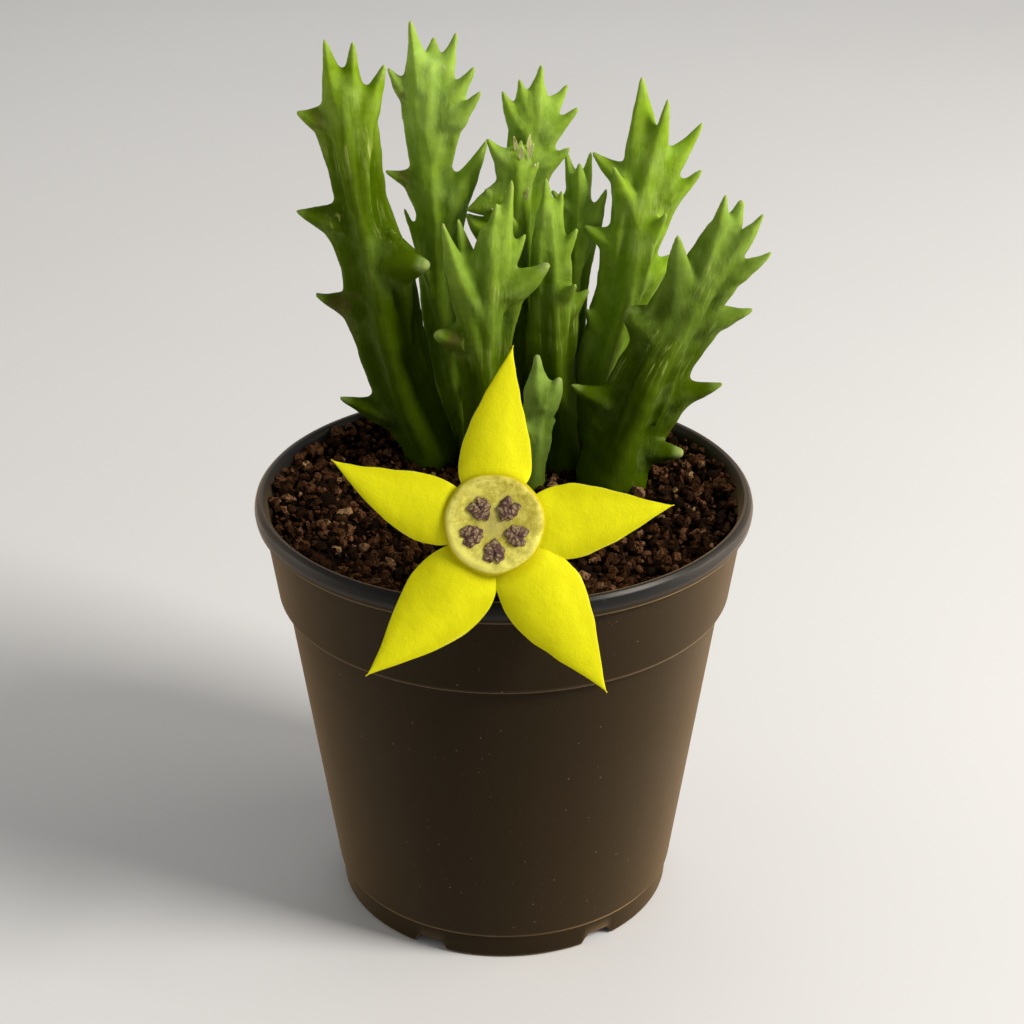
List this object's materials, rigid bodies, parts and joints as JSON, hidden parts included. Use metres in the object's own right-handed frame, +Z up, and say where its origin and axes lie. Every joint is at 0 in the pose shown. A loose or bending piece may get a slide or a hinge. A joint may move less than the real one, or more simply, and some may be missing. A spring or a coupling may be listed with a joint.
{
  "type": "potted succulent plant",
  "caption": "Clump of toothed four-angled green succulent stems in a round dark nursery pot, with a yellow star-shaped flower hanging over the front of the rim.",
  "frame": {"origin": "centre of the pot's underside, on the pot's axis", "axes": "+Z up along the pot's axis, -Y towards the side the flower hangs over, +X to the right of the plant seen from that side"},
  "size_m": [0.0925, 0.0982, 0.1591],
  "materials": {
    "pot_plastic": "matte, fine scuffs, cooler and smoother on the rolled rim",
    "potting_mix": "dry granules, rough",
    "stem_skin": "satin, darker at the foot, paler on ribs and teeth",
    "stalk_skin": "satin",
    "petal": "matte, finely grained",
    "flower_disc": "satin, waxy",
    "corona_lobe": "satin, blotched"
  },
  "bodies": {
    "root": {"pot": "pot_plastic", "soil": "potting_mix", "stem_far_left": "stem_skin", "stem_back_left": "stem_skin", "stem_front": "stem_skin", "stem_small_front": "stem_skin", "stem_back": "stem_skin", "stem_back_slim": "stem_skin", "stem_middle": "stem_skin", "stem_back_right": "stem_skin", "stem_right": "stem_skin", "flower_stalk": "stalk_skin", "flower_corolla": "petal", "flower_disc": "flower_disc", "corona_lobe_1": "corona_lobe", "corona_lobe_2": "corona_lobe", "corona_lobe_3": "corona_lobe", "corona_lobe_4": "corona_lobe", "corona_lobe_5": "corona_lobe"}
  },
  "joints": []
}
